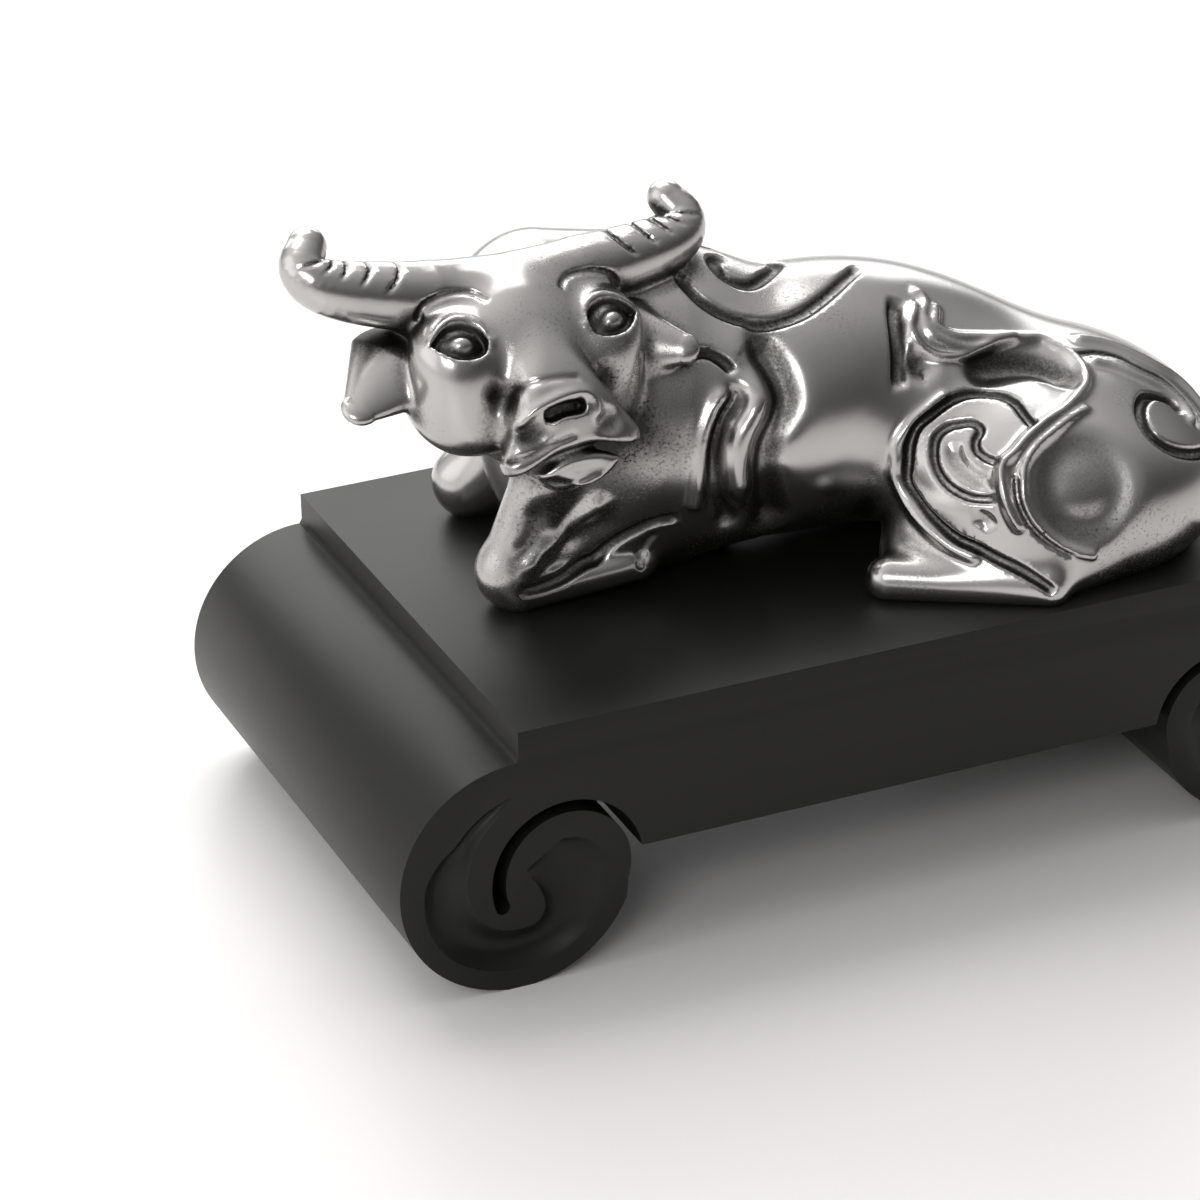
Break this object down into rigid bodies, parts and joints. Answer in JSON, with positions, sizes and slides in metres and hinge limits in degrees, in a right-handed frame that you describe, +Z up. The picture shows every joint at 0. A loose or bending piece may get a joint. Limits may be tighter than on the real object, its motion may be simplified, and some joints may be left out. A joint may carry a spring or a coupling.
{
  "type": "ox figurine",
  "caption": "Cast metal ox resting with folded legs and turned head, carved with swirls, on a black slab stand with rolled scroll feet.",
  "frame": {"origin": "under the middle of the stand, at the level its scroll feet stand on", "axes": "+Z up, +X along the stand from the ox's head to its rump, -Y the side the ox looks to"},
  "size_m": [0.15, 0.0808, 0.097],
  "materials": {
    "stand": "satin black lacquer",
    "ox": "polished pewter with darkened recesses"
  },
  "bodies": {
    "root": {"stand": "stand", "ox": "ox"}
  },
  "joints": []
}
